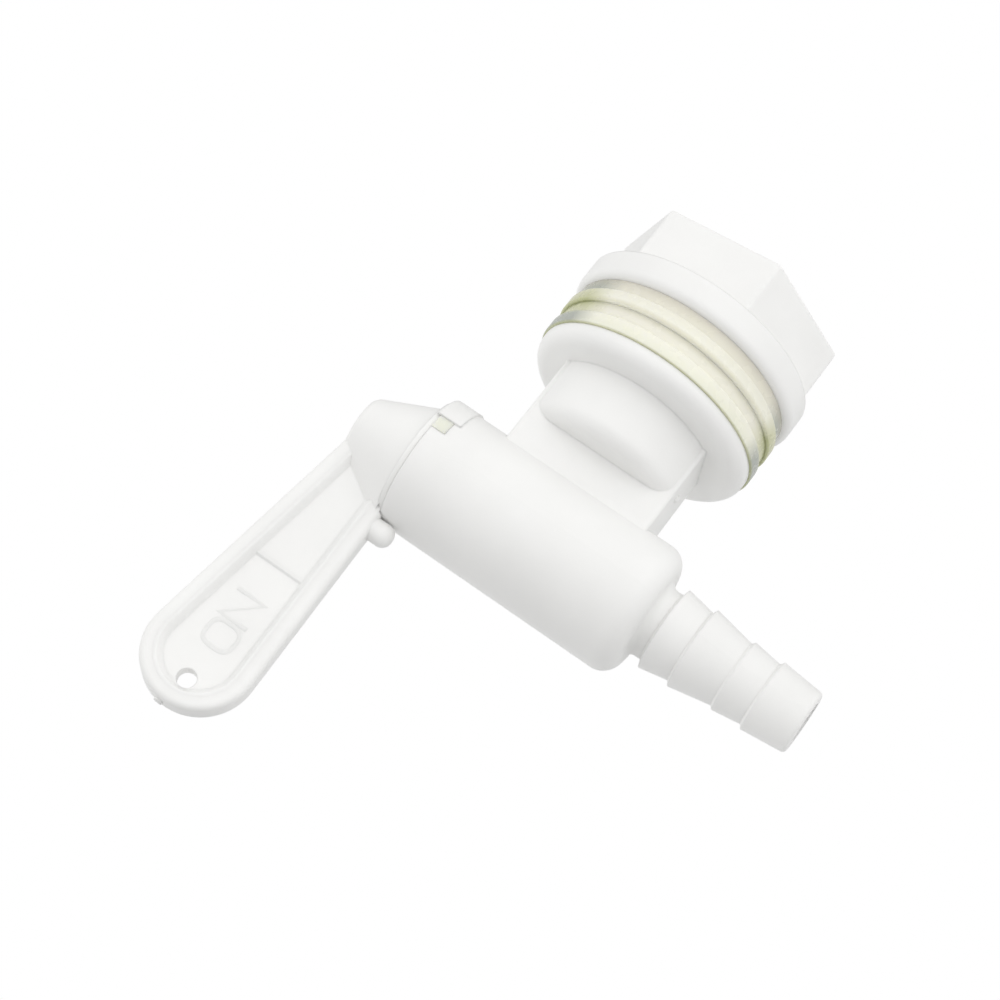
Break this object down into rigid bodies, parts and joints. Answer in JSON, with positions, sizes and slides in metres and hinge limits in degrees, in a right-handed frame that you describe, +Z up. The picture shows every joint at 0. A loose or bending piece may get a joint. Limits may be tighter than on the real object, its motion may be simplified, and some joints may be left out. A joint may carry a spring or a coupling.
{
  "type": "bottling spigot",
  "caption": "Plastic lever tap for a fermenting bucket: flanged stem with stepped silicone gaskets and a hexagon nut, upright barrel with a barbed spout, and a flat lever that turns its plug.",
  "frame": {"origin": "centre of the flange face that seats on the vessel's wall, on the axis of the inlet stem", "axes": "+Y along the stem into the vessel, +Z up along the barrel to the lever, +X to the right seen from outside the vessel"},
  "size_m": [0.0368, 0.0969, 0.0792],
  "materials": {
    "white_plastic": "satin moulded white polypropylene",
    "clear_silicone": "smooth translucent silicone with a pale yellow-green tint"
  },
  "bodies": {
    "tap": {"spigot_body": "white_plastic", "collar_seal": "clear_silicone", "outer_gasket": "clear_silicone"},
    "lever": {"lever_plug": "white_plastic"},
    "loose_gasket": {"inner_gasket": "clear_silicone"},
    "nut": {"hex_nut": "white_plastic"}
  },
  "joints": [
    {"name": "lever_turn", "type": "hinge", "parent": "tap", "child": "lever", "pos_m": [0, -0.0256, 0.02], "axis": [0, 0, 1], "range_deg": [-100, 100]},
    {"name": "gasket_slide", "type": "slide", "parent": "tap", "child": "loose_gasket", "axis": [0, 1, 0], "range_m": [0, 0.006]},
    {"name": "nut_turn", "type": "hinge", "parent": "loose_gasket", "child": "nut", "pos_m": [0, 0.0086, 0], "axis": [0, 1, 0], "range_deg": [0, 864]}
  ],
  "couplings": [
    {"joint": "gasket_slide", "follows": "nut_turn", "m_per_rad": 0.00039789}
  ]
}
